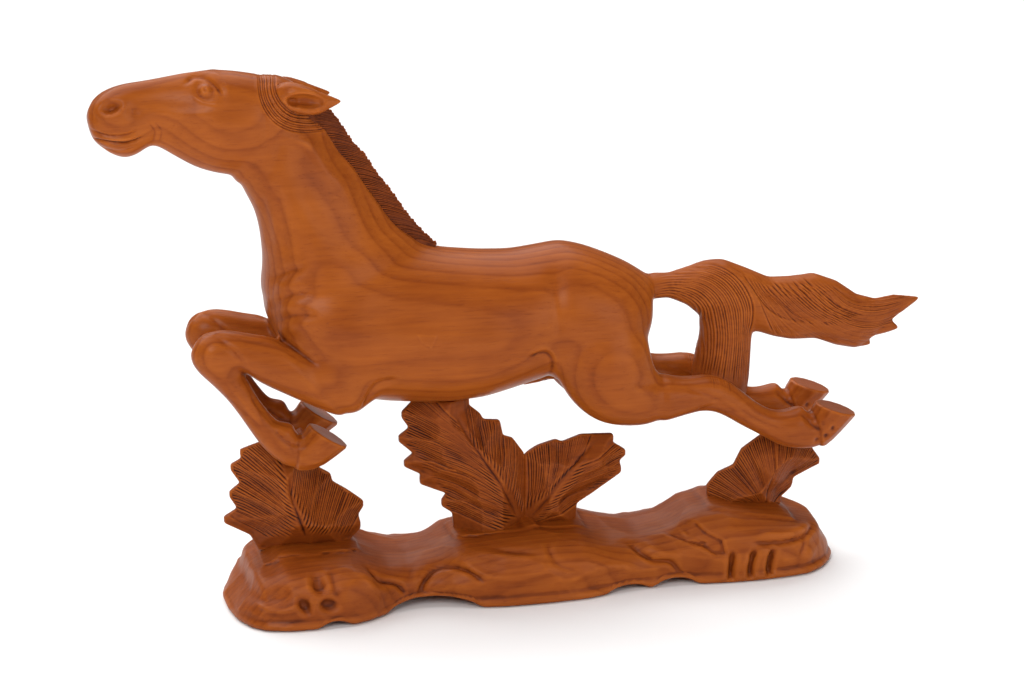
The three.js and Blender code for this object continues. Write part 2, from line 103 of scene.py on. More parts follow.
# ---------------------------------------------------------------- distance fields
class Field:
    """A dense block of signed distances in millimetres, negative inside the wood."""

    def __init__(self, names, step=STEP, margin=6.0):
        corners = np.array([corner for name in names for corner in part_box(name)]) / MM - ZERO
        self.step = step
        self.low = np.floor((corners.min(0) - margin) / step).astype(int)
        high = np.ceil((corners.max(0) + margin) / step).astype(int)
        self.shape = tuple(high - self.low + 1)
        self.values = np.full(self.shape, BAND * step, np.float32)

    def solid(self, name):
        """One CAD node as distances over this block."""
        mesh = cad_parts[name].data
        mesh.calc_loop_triangles()
        points = np.zeros(len(mesh.vertices) * 3, np.float32)
        mesh.vertices.foreach_get("co", points)
        triangles = np.zeros(len(mesh.loop_triangles) * 3, np.int32)
        mesh.loop_triangles.foreach_get("vertices", triangles)
        grid = openvdb.FloatGrid.createLevelSetFromPolygons(
            (points.reshape(-1, 3) / MM - ZERO).astype(np.float32),
            triangles=triangles.reshape(-1, 3).astype(np.uint32),
            transform=openvdb.createLinearTransform(voxelSize=self.step),
            halfWidth=BAND,
        )
        values = np.empty(self.shape, np.float32)
        grid.copyToArray(values, ijk=tuple(int(i) for i in self.low))
        return values

    def axes(self):
        """X, Y and Z of the voxels, shaped to broadcast over the block."""
        lines = []
        for low, count in zip(self.low, self.shape):
            lines.append(((low + np.arange(count)) * self.step).astype(np.float32))
        return lines[0][:, None, None], lines[1][None, :, None], lines[2][None, None, :]

    def blurred(self, sigma):
        """The field smoothed by a Gaussian of that many millimetres."""
        spread = sigma / self.step
        reach = int(math.ceil(BLUR_REACH * spread))
        taps = np.exp(-0.5 * (np.arange(-reach, reach + 1) / spread) ** 2)
        taps = (taps / taps.sum()).astype(np.float32)
        values = self.values
        for axis in range(3):
            pads = [(reach, reach) if a == axis else (0, 0) for a in range(3)]
            padded = np.pad(values, pads, mode="edge")
            values = np.zeros(self.shape, np.float32)
            for k, tap in enumerate(taps):
                cut = [slice(None)] * 3
                cut[axis] = slice(k, k + self.shape[axis])
                values += tap * padded[tuple(cut)]
        return values

    def ellipsoid(self, centre, radii, tilt):
        """Rough distances to an ellipsoid. tilt turns it in the side view, in degrees, anticlockwise."""
        x, y, z = self.axes()
        x, y, z = x - centre[0], y - centre[1], z - centre[2]
        turn = math.radians(tilt)
        u = (x * math.cos(turn) + z * math.sin(turn)) / radii[0]
        v = (z * math.cos(turn) - x * math.sin(turn)) / radii[2]
        return (np.sqrt(u * u + (y / radii[1]) ** 2 + v * v) - 1.0) * min(radii)

    def skin(self):
        """The zero surface as points in millimetres and quads that face out."""
        grid = openvdb.FloatGrid(BAND * self.step)
        grid.transform = openvdb.createLinearTransform(voxelSize=self.step)
        grid.copyFromArray(np.ascontiguousarray(self.values), ijk=tuple(int(i) for i in self.low))
        points, quads = grid.convertToQuads(isovalue=0.0)
        points = np.asarray(points, np.float64)
        quads = np.asarray(quads, np.int64)
        a, b, c, d = (points[quads[:, i]] for i in range(4))
        volume = np.einsum("ij,ij->i", a + b + c + d, np.cross(c - a, d - b)).sum()
        return points, (quads if volume > 0 else quads[:, ::-1])


def sampled(field, values, points):
    """Values of a block at points, by the nearest voxel."""
    index = np.rint(points / field.step).astype(int) - field.low
    index = np.clip(index, 0, np.array(field.shape) - 1)
    return values[index[:, 0], index[:, 1], index[:, 2]]


# ---------------------------------------------------------------- carver's drawings
def interpolated(at, places, points):
    """Points of the side view between given ones, which lie at the given places of a scale."""
    return np.stack([np.interp(at, places, points[:, k]) for k in range(2)], axis=1)


def curve(points, spacing):
    """Points evenly spaced along a smooth curve through the given ones."""
    points = np.asarray(points, float)
    ends = np.vstack([2 * points[0] - points[1], points, 2 * points[-1] - points[-2]])
    t = np.linspace(0, 1, 12, endpoint=False)[:, None]
    spans = []
    for a, b, c, d in zip(ends, ends[1:], ends[2:], ends[3:]):
        spans.append(b + 0.5 * t * (c - a + t * (2 * a - 5 * b + 4 * c - d + t * (3 * (b - c) + d - a))))
    fine = np.vstack([*spans, points[-1:]])
    lengths = np.concatenate([[0], np.cumsum(np.linalg.norm(np.diff(fine, axis=0), axis=1))])
    at = np.linspace(0, lengths[-1], max(2, int(lengths[-1] / spacing) + 1))
    return interpolated(at, lengths, fine)


class Relief:
    """Heights in millimetres over the side view, which the skin is raised or cut back by."""

    def __init__(self, low, high, cell=0.35):
        self.cell = cell
        self.x = np.arange(low[0], high[0], cell)
        self.z = np.arange(low[1], high[1], cell)
        self.height = np.zeros((len(self.x), len(self.z)))

    def window(self, low, high):
        """The part of the map between two corners, with its X and Z."""
        i, j = np.searchsorted(self.x, [low[0], high[0]])
        k, m = np.searchsorted(self.z, [low[1], high[1]])
        return (slice(i, j), slice(k, m)), self.x[i:j, None], self.z[None, k:m]

    def trace(self, layer, line, heights, width):
        """Draws a line of round-bottomed strokes into a layer, keeping the highest."""
        for (px, pz), height in zip(line, heights):
            reach = STROKE_REACH * width
            part, x, z = self.window((px - reach, pz - reach), (px + reach, pz + reach))
            bump = np.exp(-((x - px) / width) ** 2) * np.exp(-((z - pz) / width) ** 2) * height
            np.maximum(layer[part], bump, out=layer[part])

    def stroke(self, points, height, width):
        """A ridge, or a groove where height is negative, fading out at both ends of a curve."""
        line = curve(points, self.cell)
        along = np.linspace(0, 1, len(line))
        fade = smoothstep(0, 0.2, along) * smoothstep(1, 0.8, along)
        layer = np.zeros_like(self.height)
        self.trace(layer, line, fade, width)
        self.height += layer * height

    def fold(self, points, depth, width):
        """A crease with a swelling along its upper side."""
        line = np.asarray(points, float)
        self.stroke(line, -depth, width)
        self.stroke(line + (0.0, 2.2 * width), 0.6 * depth, 1.3 * width)

    def mound(self, centre, radii, tilt, height, steepness=1.0):
        """An oval bump, or a dent where height is negative. tilt in degrees, anticlockwise."""
        reach = STROKE_REACH * max(radii)
        middle = np.asarray(centre, float)
        part, x, z = self.window(middle - reach, middle + reach)
        turn = math.radians(tilt)
        u = ((x - centre[0]) * math.cos(turn) + (z - centre[1]) * math.sin(turn)) / radii[0]
        v = ((z - centre[1]) * math.cos(turn) - (x - centre[0]) * math.sin(turn)) / radii[1]
        self.height[part] += height * np.exp(-(u * u + v * v) ** steepness)

    def patch(self, outline, height, soft):
        """A raised or sunken area with a sloping border."""
        outline = np.asarray(outline, float)
        part, x, z = self.window(outline.min(0) - 2 * soft, outline.max(0) + 2 * soft)
        inside = np.zeros(np.broadcast(x, z).shape, bool)
        nearest = np.full(inside.shape, np.inf)
        for (ax, az), (bx, bz) in zip(outline, np.roll(outline, -1, axis=0)):
            squared = (bx - ax) ** 2 + (bz - az) ** 2
            t = np.clip(((x - ax) * (bx - ax) + (z - az) * (bz - az)) / squared, 0, 1)
            nearest = np.minimum(nearest, np.hypot(x - ax - t * (bx - ax), z - az - t * (bz - az)))
            crosses = (az > z) != (bz > z)
            reach = ax + (z - az) * (bx - ax) / (bz - az if bz != az else 1.0)
            inside ^= crosses & (x < reach)
        self.height[part] += height * smoothstep(-soft, soft, np.where(inside, nearest, -nearest))

    def comb(self, guides, pitch, depth, late=0.0):
        """Gouge strokes a pitch apart that follow guide curves. Every other one starts late."""
        lines = []
        for guide in guides:
            line = curve(guide, 0.5)
            at = np.linspace(0, len(line) - 1, COMB_SAMPLES)
            lines.append(interpolated(at, np.arange(len(line)), line))
        lines = np.array(lines)
        gaps = np.linalg.norm(np.diff(lines, axis=0), axis=2).max(1)
        across = np.concatenate([[0], np.cumsum(gaps)])
        layer = np.zeros_like(self.height)
        for number, place in enumerate(np.arange(pitch / 2, across[-1], pitch)):
            place += random.uniform(-0.15, 0.15) * pitch
            line = [interpolated([place], across, lines[:, i])[0] for i in range(COMB_SAMPLES)]
            line = curve(line, self.cell)
            along = np.linspace(0, 1, len(line))
            start = random.uniform(0, 0.06) + (late if number % 2 else 0.0)
            end = 1 - random.uniform(0, 0.06)
            fade = smoothstep(start, start + 0.12, along) * smoothstep(end, end - 0.1, along)
            self.trace(layer, line, fade * random.uniform(0.65, 1.0), 0.3 * pitch)
        self.height -= layer * depth

    def at(self, x, z):
        """Heights at places on the side view."""
        u = np.clip((x - self.x[0]) / self.cell, 0, len(self.x) - 1.001)
        v = np.clip((z - self.z[0]) / self.cell, 0, len(self.z) - 1.001)
        i, j = u.astype(int), v.astype(int)
        u, v = u - i, v - j
        low = self.height[i, j] * (1 - u) + self.height[i + 1, j] * u
        high = self.height[i, j + 1] * (1 - u) + self.height[i + 1, j + 1] * u
        return low * (1 - v) + high * v


# ---------------------------------------------------------------- skin arithmetic
def vertex_normals(points, faces):
    """Unit normals of the points of a skin of quads, weighted by the area of the faces."""
    a, b, c, d = (points[faces[:, i]] for i in range(4))
    face_normals = np.cross(c - a, d - b)
    normals = np.zeros_like(points)
    for axis in range(3):
        weights = np.repeat(face_normals[:, axis], 4)
        normals[:, axis] = np.bincount(faces.ravel(), weights, len(points))
    return normals / np.maximum(np.linalg.norm(normals, axis=1, keepdims=True), 1e-12)


def edges_of(faces):
    """Every edge of a skin of quads once, as pairs of points."""
    pairs = np.concatenate([faces[:, [i, (i + 1) % 4]] for i in range(4)])
    keys = np.unique(pairs.min(1) * (faces.max() + 1) + pairs.max(1))
    return np.stack(np.divmod(keys, faces.max() + 1), axis=1)


def averaged(values, edges, rounds):
    """Each vertex's value averaged with its neighbours', that many times."""
    count = len(values)
    degree = np.bincount(edges.ravel(), minlength=count) + 1.0
    flat = values.reshape(count, -1)
    for _ in range(rounds):
        sums = flat.copy()
        for column in range(flat.shape[1]):
            sums[:, column] += np.bincount(edges[:, 0], flat[edges[:, 1], column], count)
            sums[:, column] += np.bincount(edges[:, 1], flat[edges[:, 0], column], count)
        flat = sums / degree[:, None]
    return flat.reshape(values.shape)


def subdivided(points, faces, kept):
    """One Catmull-Clark round. kept marks faces and is handed down to their quarters."""
    mesh = bpy.data.meshes.new("coarse")
    mesh.from_pydata(points, [], faces.tolist())
    mesh.attributes.new("kept", "INT", "FACE").data.foreach_set("value", kept.astype(np.int32))
    holder = placed("coarse", mesh)
    modifier = holder.modifiers.new("finer", "SUBSURF")
    modifier.levels = 1
    modifier.render_levels = 1
    fine = bpy.data.meshes.new_from_object(holder.evaluated_get(bpy.context.evaluated_depsgraph_get()))
    fine_points = np.zeros(len(fine.vertices) * 3)
    fine.vertices.foreach_get("co", fine_points)
    corners = np.zeros(len(fine.loops), np.int64)
    fine.loops.foreach_get("vertex_index", corners)
    fine_kept = np.zeros(len(fine.polygons), np.int32)
    fine.attributes["kept"].data.foreach_get("value", fine_kept)
    bpy.data.objects.remove(holder)
    bpy.data.meshes.remove(mesh)
    bpy.data.meshes.remove(fine)
    return fine_points.reshape(-1, 3), corners.reshape(-1, 4), fine_kept.astype(bool)


def hollowness(points, faces, normals, rounds):
    """How far each point lies below its smoothed surroundings, in millimetres; negative on crests."""
    around = averaged(points, edges_of(faces), rounds)
    return np.einsum("ij,ij->i", around - points, normals)


# ---------------------------------------------------------------- pieces
def sunk_rims(build, rims, directions):
    """Carries open rims into the wood, against the given directions, so that their caps stay inside."""
    unseen = {vertex for edge in rims for vertex in edge.verts}
    depth = {}
    while unseen:
        loop = [unseen.pop()]
        for vertex in loop:
            for edge in vertex.link_edges:
                other = edge.other_vert(vertex)
                if edge.is_boundary and other in unseen:
                    unseen.remove(other)
                    loop.append(other)
        middle = sum((vertex.co for vertex in loop), Vector()) / len(loop)
        for vertex in loop:
            depth[vertex.index] = min(RIM_DEPTH * MM, 0.5 * (vertex.co - middle).length)
    start = {vertex.index: vertex.co.copy() for edge in rims for vertex in edge.verts}
    made = bmesh.ops.extrude_edge_only(build, edges=rims)["geom"]
    places = {tuple(co): index for index, co in start.items()}
    for vertex in made:
        if isinstance(vertex, bmesh.types.BMVert):
            index = places[tuple(vertex.co)]
            vertex.co -= Vector(directions[index]) * depth[index]
    return [edge for edge in made if isinstance(edge, bmesh.types.BMEdge) and edge.is_boundary]


def piece(name, points, faces, kept, normals, hollow, material, slot, *nodes):
    """A closed piece from the kept faces of a skin, its saw cuts filled, shaded as the uncut skin."""
    faces = faces[kept]
    used, compact = np.unique(faces, return_inverse=True)
    faces = compact.reshape(-1, 4)
    mesh = bpy.data.meshes.new(name)
    mesh.from_pydata((points[used] + ZERO) * MM, [], faces.tolist())
    build = bmesh.new()
    build.from_mesh(mesh)
    rims = [edge for edge in build.edges if edge.is_boundary]
    if rims:
        inner = sunk_rims(build, rims, normals[used])
        bmesh.ops.holes_fill(build, edges=inner, sides=0)
    build.to_mesh(mesh)
    build.free()
    # hollowness per point, which the wood turns into stain and painted shade in grooves and painted light
    # on crests
    depths = np.zeros(len(mesh.vertices), np.float32)
    depths[:len(used)] = hollow[used]
    mesh.attributes.new("hollow", "FLOAT", "POINT").data.foreach_set("value", depths)
    mesh.shade_smooth()
    shading = np.zeros(len(mesh.loops) * 3, np.float32)
    mesh.corner_normals.foreach_get("vector", shading)
    shading = shading.reshape(-1, 3)
    shading[:faces.size] = normals[used][faces.ravel()]
    mesh.normals_split_custom_set(shading)
    made = placed(name, mesh)
    mesh.materials.append(material)
    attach(made, "root")
    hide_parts(*nodes)
    return made


def carved(name, points, faces, kept, normals, push, rounds, material, slot):
    """Raises a skin by push along its normals and makes it the piece that stands for a CAD node."""
    points = points + normals * push[:, None]
    normals = vertex_normals(points, faces)
    hollow = hollowness(points, faces, normals, rounds)
    piece(name + "_carved", points, faces, kept, normals, hollow, material, slot, name)


# ---------------------------------------------------------------- wood
class Recipe:
    """Short hand for one material's node tree."""

    def __init__(self, name):
        self.material = bpy.data.materials.new(name)
        self.material.use_nodes = True
        self.tree = self.material.node_tree
        self.shader = self.tree.nodes["Principled BSDF"]

    def feed(self, socket, value):
        """Links an output to a socket, or sets a plain value on it."""
        if isinstance(value, bpy.types.NodeSocket):
            self.tree.links.new(value, socket)
        else:
            socket.default_value = value

    def add(self, kind, inputs, output=0, **settings):
        """A new node with its inputs fed and its settings made; gives one of its outputs."""
        node = self.tree.nodes.new(kind)
        for key, value in settings.items():
            setattr(node, key, value)
        for key, value in inputs.items():
            self.feed(node.inputs[key], value)
        return node.outputs[output]

    def sum(self, first, second):
        return self.add("ShaderNodeMath", {0: first, 1: second}, operation="ADD")

    def times(self, first, second):
        return self.add("ShaderNodeMath", {0: first, 1: second}, operation="MULTIPLY")

    def noise(self, place, scale, stretch=(1, 1, 1), detail=2.0):
        """Noise between about -0.5 and 0.5, with its grains stretched along an axis."""
        where = self.add("ShaderNodeMapping", {"Vector": place, "Scale": stretch})
        raw = self.add("ShaderNodeTexNoise", {"Vector": where, "Scale": scale, "Detail": detail})
        return self.sum(raw, -0.5)

    def between(self, value, low, high):
        """0 below low, 1 above high, and smooth in the middle."""
        return self.add("ShaderNodeMapRange", {"Value": value, "From Min": low, "From Max": high},
                        interpolation_type="SMOOTHSTEP")

    def ramp(self, value, stops):
        """A colour for each value, by stops of a place and a colour."""
        node = self.tree.nodes.new("ShaderNodeValToRGB")
        while len(node.color_ramp.elements) < len(stops):
            node.color_ramp.elements.new(1.0)
        for element, (position, colour) in zip(node.color_ramp.elements, stops):
            element.position = position
            element.color = (*colour, 1)
        self.feed(node.inputs[0], value)
        return node.outputs[0]


# metres: a point of the pith, and the thickness of a growth layer
PITH = (0.0, 0.16, 0.12)
RING_SPACING = 0.0048
# how light a growth layer is from its early to its late wood
RING_TONES = [(0.0, 0.5), (0.12, 0.62), (0.6, 0.5), (0.9, 0.2), (1.0, 0.5)]
SHINE = 0.13


def wood(name, tones, level, figure, stain_and_shade, roughness):
    """Straight-grained hardwood, its growth layers round a pith that runs along X behind the figure.

    level is the place on the tones of plain wood, figure the strength of the growth layers, and
    stain_and_shade how much darker the grooves are, with stain and painted shade; the crests are painted
    half that much lighter.
    """
    recipe = Recipe(name)
    place = recipe.add("ShaderNodeTexCoord", {}, output=3)
    from_pith = recipe.add("ShaderNodeVectorMath", {0: place, 1: PITH}, operation="SUBTRACT")
    flat = recipe.add("ShaderNodeVectorMath", {0: from_pith, 1: (0.0, 1.0, 0.55)}, operation="MULTIPLY")
    radius = recipe.add("ShaderNodeVectorMath", {0: flat}, output=1, operation="LENGTH")
    waver = recipe.times(recipe.noise(place, 9.0, (0.45, 1, 1)), 0.02)
    rings = recipe.times(recipe.sum(radius, waver), 1 / RING_SPACING)
    phase = recipe.add("ShaderNodeMath", {0: rings}, operation="FRACT")
    layer = recipe.ramp(phase, [(stop, (grey, grey, grey)) for stop, grey in RING_TONES])
    strength = recipe.sum(recipe.noise(place, 16.0, (0.3, 1, 1)), 0.45)
    layers = recipe.times(recipe.sum(layer, -0.5), recipe.times(strength, figure))
    fibre = recipe.noise(place, 420.0, (0.06, 1, 1), 4.0)
    pores = recipe.between(recipe.noise(place, 1300.0, (0.05, 1, 1), 1.0), 0.13, 0.2)
    broad = recipe.noise(place, 14.0, (0.5, 1, 1))
    cloudy = recipe.noise(place, 55.0, (0.7, 1, 1), 4.0)
    hollow = recipe.add("ShaderNodeAttribute", {}, output=2, attribute_name="hollow")
    # painted shade and stain darken the grooves; painted light and less stain lighten the crests
    sunken = recipe.times(recipe.between(hollow, 0.0, 0.22), -stain_and_shade)
    crest = recipe.times(recipe.between(hollow, 0.0, -0.2), 0.5 * stain_and_shade)
    tone = recipe.sum(level, layers)
    for share in (recipe.times(fibre, 0.20), recipe.times(pores, -0.06), recipe.times(broad, 0.3),
                  recipe.times(cloudy, 0.22), sunken, crest):
        tone = recipe.sum(tone, share)
    recipe.feed(recipe.shader.inputs["Base Color"], recipe.ramp(tone, tones))
    polish = recipe.sum(roughness, recipe.times(recipe.noise(place, 60.0, (0.4, 1, 1)), 0.18))
    recipe.feed(recipe.shader.inputs["Roughness"], polish)
    recipe.feed(recipe.shader.inputs["Specular IOR Level"], SHINE)
    grain = recipe.sum(recipe.times(fibre, 0.6), recipe.times(pores, -0.5))
    bump = recipe.add("ShaderNodeBump", {"Height": grain, "Strength": 0.35, "Distance": 0.0002})
    recipe.feed(recipe.shader.inputs["Normal"], bump)
    return recipe.material


HONEY = [(0.0, (0.018, 0.003, 0.0005)), (0.25, (0.08, 0.013, 0.002)), (0.5, (0.23, 0.046, 0.005)),
         (0.75, (0.37, 0.090, 0.010)), (1.0, (0.50, 0.16, 0.03))]

# numbers: plain tone, growth layers, stain and painted shade in grooves with painted light on crests,
# roughness
COAT = wood("coat_wood", HONEY, 0.60, 0.6, 0.26, 0.34)
MANE = wood("mane_wood", HONEY, 0.36, 0.2, 0.32, 0.5)
TAIL = wood("tail_wood", HONEY, 0.57, 0.2, 0.30, 0.45)
FROND = wood("frond_wood", HONEY, 0.49, 0.15, 0.40, 0.5)
STAND = wood("stand_wood", HONEY, 0.56, 0.5, 0.18, 0.42)

# ---------------------------------------------------------------- horse
SOFT_NODES = ["torso", "neck", "head", "poll_hair", "left_foreleg", "right_foreleg", "left_hind_leg",
              "right_hind_leg", "tail_plume", "tail_fall"]
HOOVES = ["left_fore_hoof", "right_fore_hoof", "left_hind_hoof", "right_hind_hoof"]
CRISP_NODES = [*HOOVES, "sheath"]
EARS = ["left_ear", "right_ear"]
BARREL_NODES = ["torso", "neck"]
TAIL_NODES = ["tail_plume", "tail_fall"]
FINE_NODES = ["head", "poll_hair", *EARS, *TAIL_NODES]
MANE_ROOT = [(-122, 297), (-112, 288), (-107, 280), (-100, 268), (-93, 258), (-88, 249), (-80, 237),
             (-70, 226), (-60, 219), (-50, 215)]
MANE_EDGE = [(-131, 313), (-120, 307), (-109, 300.5), (-102, 291.5), (-94.5, 279.5), (-88, 272.5),
             (-81, 261), (-72.5, 249.5), (-62.5, 234.5), (-53, 223), (-44, 214.5)]
MANE_HEIGHT = 10.5
# the crest ridge under the mane: how deep it goes, its half thickness at the top, and how that grows
RIDGE_DEPTH = 15.0
RIDGE_HALF = 4.4
RIDGE_SLOPE = 0.95
# the mane: how far it is let into the crest, its half thickness at the edge, and how that grows
MANE_TENON = 4.0
MANE_HALF = 1.0
MANE_SLOPE = 0.29
MANE_BLUR = 0.35
TUFT = 2.4
HAIR_PITCH = 0.65 * TUFT
# widths of the smoothing: tail tip, limbs and hair, barrel, the change between them, and the last pass
TIP_BLUR = 0.8
LIMB_BLUR = 2.0
BARREL_BLUR = 4.5
BLEND_BLUR = 5.0
LAST_BLUR = 0.55
# hooves, sheath and ears are swollen by this, so that the last smoothing doesn't thin them
CRISP_SWELL = 0.3
# rings of faces round a piece that are carved with it, so that both sides of a saw cut match
CARVED_RINGS = 3


def draw_face(relief):
    """Jaw, cheek, nostril, lips and eye."""
    stroke, mound = relief.stroke, relief.mound
    mound((-170, 291), (20, 17), 0, 1.6)
    mound((-207, 296), (9, 8), 0, -1.2)
    mound((-234, 286), (7, 5), 0, 1.0)
    stroke([(-176, 307), (-197, 304), (-216, 306)], 0.7, 3.2)
    stroke([(-150, 264), (-145, 272), (-142, 282), (-142, 290)], -0.6, 4.0)
    # nostril
    mound((-238.5, 309.5), (9, 6.4), 15, 1.3)
    mound((-237.6, 309.8), (5.4, 2.9), 15, -5.0, 1.4)
    mound((-224.5, 308), (4.5, 4.5), 0, -1.6)
    mound((-247, 304.5), (3, 4.5), 20, -1.0)
    # lips
    stroke([(-249.5, 291.5), (-240, 290), (-230, 289.3), (-223, 290.3), (-217.5, 292.5)],
        -1.7, 0.8)
    stroke([(-251, 297.5), (-240, 294), (-230, 294), (-221, 296.5)], -0.9, 1.0)
    stroke([(-247, 293), (-238, 292), (-228, 291.8), (-220, 294)], 0.5, 1.1)
    stroke([(-247, 286.5), (-239, 285), (-230, 284.5), (-222, 286.5)], -0.6, 1.2)
    for shift in (0, 3.6):
        stroke([(-216 + shift, 300), (-212.5 + shift, 294), (-213.5 + shift, 287)], -0.45, 1.0)
    # eye
    mound((-184, 318.5), (10, 7), -25, -0.6)
    stroke([(-196, 320.5), (-192, 323), (-188, 325), (-182, 324), (-177, 320), (-173.5, 313.5)],
        -1.5, 1.3)
    mound((-183.5, 318), (5.4, 4.8), -25, -1.7, 2.0)
    mound((-183.5, 318), (3.5, 3.3), 0, 3.6, 1.5)
    mound((-183.5, 318), (1.3, 1.3), 0, -0.7)
    stroke([(-192, 316.5), (-186, 312.5), (-179.5, 310.8), (-174, 311)], 0.5, 1.5)
    stroke([(-193, 327.5), (-186, 329), (-178, 327), (-172, 321), (-169, 314)], 0.5, 1.8)


def draw_body(relief):
    """Muscles, hollows and skin folds of neck, breast, barrel and thigh."""
    stroke, mound = relief.stroke, relief.mound
    mound((-116.5, 168.5), (22, 20), 0, 1.9, 1.3)
    mound((52, 155), (24, 34), -25, 1.5)
    stroke([(-153, 256), (-149.5, 240), (-147, 220)], -0.9, 2.4)
    stroke([(-144, 258), (-141.5, 240), (-140, 218)], -0.7, 3.0)
    stroke([(-133, 262), (-118, 236), (-96, 214)], -0.5, 5.0)
    # folds of the breast, with full flesh between them
    for line in ([(-152, 190), (-148, 198), (-146, 204), (-142, 208), (-137, 211), (-129, 213)],
        [(-151, 181), (-147, 187), (-144, 192), (-140, 196), (-135, 198), (-126, 199)],
        [(-150, 173), (-146, 179), (-142, 183), (-138, 185), (-133, 186), (-124, 186)]):
        stroke(line, -1.1, 2.5)
    for place in ((-139.5, 203), (-137, 191), (-137, 178)):
        mound(place, (7.5, 3.8), 25, 1.1)
    stroke([(-155, 179.5), (-141, 168), (-124, 155)], -1.7, 2.0)
    # elbow, flank and stifle
    stroke([(-97.5, 124), (-93, 134.5), (-88, 141), (-77, 144)], -1.4, 2.2)
    relief.fold([(0, 151.5), (8.5, 154), (14, 152.5), (17, 147), (17.5, 138)], 1.3, 1.8)
    stroke([(17, 142), (19, 131), (25, 119), (38, 107)], -1.0, 2.6)
    stroke([(22, 202), (19, 186), (21, 164)], -1.5, 6.0)
    stroke([(72, 192), (76, 174), (76, 154)], -0.8, 4.0)
    stroke([(62, 134), (74, 130), (88, 129)], -0.7, 3.0)
    # a small wedge let into the ribs
    relief.patch([(-66.5, 172), (-54.5, 171), (-58, 163), (-64, 167)], 0.3, 0.7)


def draw_legs(relief):
    """Tendons, joints and ergots."""
    stroke, mound = relief.stroke, relief.mound
    # knee, cannon and fetlock of the foreleg
    stroke([(-186, 178), (-174, 168), (-167, 157)], -0.9, 2.2)
    mound((-188, 168), (6, 5), -40, 0.9)
    stroke([(-181, 150), (-170, 133), (-158, 116)], -0.5, 1.7)
    stroke([(-164, 140), (-155, 126), (-147, 118)], -0.8, 1.5)
    stroke([(-151, 118), (-143, 110), (-135, 106)], -0.9, 1.8)
    mound((-131, 99), (6, 7), 0, -0.7)
    # hock, cannon and fetlock of the hind leg
    stroke([(98, 126), (112, 121), (124, 114)], -0.8, 2.0)
    stroke([(104, 110), (120, 113), (134, 106)], -0.7, 2.0)
    stroke([(130, 112), (146, 101), (162, 94)], -0.6, 1.7)
    mound((170, 96), (6, 5), 0, 0.9)
    for place in ((182, 86), (187, 89), (191, 94)):
        mound(place, (1.6, 1.9), 0, -1.2)
    stroke([(172, 103), (179, 96), (184, 92)], -0.9, 1.6)


def draw_hair(relief):
    """Combed hair of poll and tail, and the root of the mane."""
    stroke, mound = relief.stroke, relief.mound
    relief.patch([(-152, 330), (-154, 315), (-151, 304), (-142.5, 294.5), (-130, 288.5), (-104, 286),
        (-104, 299), (-118, 304), (-122, 330)], 0.5, 1.6)
    relief.comb([[(-151, 328), (-153, 315), (-150, 304.5), (-142, 295.5), (-130, 290), (-108, 287.5)],
        [(-144, 328), (-147.5, 316.5), (-145, 307.5), (-138, 299.5), (-127, 294.5), (-108, 291.5)],
        [(-137, 327), (-142, 318), (-140, 310.5), (-133, 303.5), (-123, 299.5), (-108, 296)]],
        1.6, 1.25)
    stroke(MANE_ROOT, 0.6, 1.6)
    # dock into the fall
    relief.comb([[(82, 175), (95, 176.5), (104, 172.5), (111, 166), (114, 156), (115, 142), (113, 122)],
        [(82, 181), (98, 182.5), (112, 180), (121, 171), (125, 158), (125, 142), (121, 118)],
        [(82, 187), (100, 188.5), (116, 189), (128, 183), (136, 170), (139, 152), (137, 116)],
        [(90, 190), (108, 192), (124, 193.5), (137, 187), (145, 174), (147, 158), (146, 114)]],
        1.8, 0.95, 0.12)
    # twisted locks of the plume
    relief.comb([[(128, 194), (140, 187), (148, 175), (153, 163), (158, 152), (163, 145)],
        [(140, 190.5), (152, 180), (161, 168), (170, 156), (182, 147), (196, 139)],
        [(152, 184), (165, 174.5), (176, 163), (188, 152), (203, 142), (222, 134)],
        [(166, 181), (180, 172), (192, 160), (205, 150), (222, 144), (242, 145)],
        [(182, 182.5), (194, 173.5), (206, 162), (222, 155.5), (238, 156), (254, 162)],
        [(196, 178), (206, 170), (217, 164.5), (230, 163.5), (242, 164.5), (256, 164.5)]],
        1.8, 0.95, 0.1)
    relief.comb([[(140, 189), (147, 177), (155, 166), (168, 156)],
        [(150, 184), (158, 173), (168, 162), (184, 151)],
        [(164, 181), (174, 170), (186, 159), (203, 149)],
        [(182, 182), (192, 172), (204, 162), (220, 155)]],
        2.1, 1.0, 0.15)
    stroke([(150, 182), (163, 170), (176, 157), (190, 146)], -0.9, 2.6)
    stroke([(178, 184), (192, 173), (206, 159), (226, 149)], -0.9, 2.6)
    stroke([(120, 188), (134, 180), (144, 166), (150, 152)], -0.8, 2.6)


def inward_of(field, line, spacing):
    """For each place of the side view: how far inside a curve it lies, and how far along the curve."""
    x, _, z = field.axes()
    x, z = x[:, 0, :], z[0, :, :]
    nearest = np.full((field.shape[0], field.shape[2]), np.inf, np.float32)
    along = np.zeros_like(nearest)
    side = np.zeros_like(nearest)
    for number, ((ax, az), (bx, bz)) in enumerate(zip(line, line[1:])):
        distance = np.hypot(x - ax, z - az)
        closer = distance < nearest
        nearest = np.where(closer, distance, nearest)
        along = np.where(closer, number * spacing, along)
        side = np.where(closer, (bx - ax) * (z - az) - (bz - az) * (x - ax), side)
    return np.where(side < 0, nearest, -nearest), along


def crest_ridge(field):
    """Distances to a narrow ridge along the top of the neck, out of which the mane stands."""
    inward, along = inward_of(field, curve(MANE_EDGE, 0.5), 0.5)
    half = (RIDGE_HALF + RIDGE_SLOPE * np.clip(inward - MANE_HEIGHT, 0, 16))[:, None, :]
    plate = np.maximum(MANE_HEIGHT - inward, inward - MANE_HEIGHT - RIDGE_DEPTH)
    plate = np.maximum(plate, np.maximum(4.0 - along, along - along.max() + 4.0))[:, None, :]
    return np.maximum(plate, (np.abs(field.axes()[1]) - half) * 0.72)


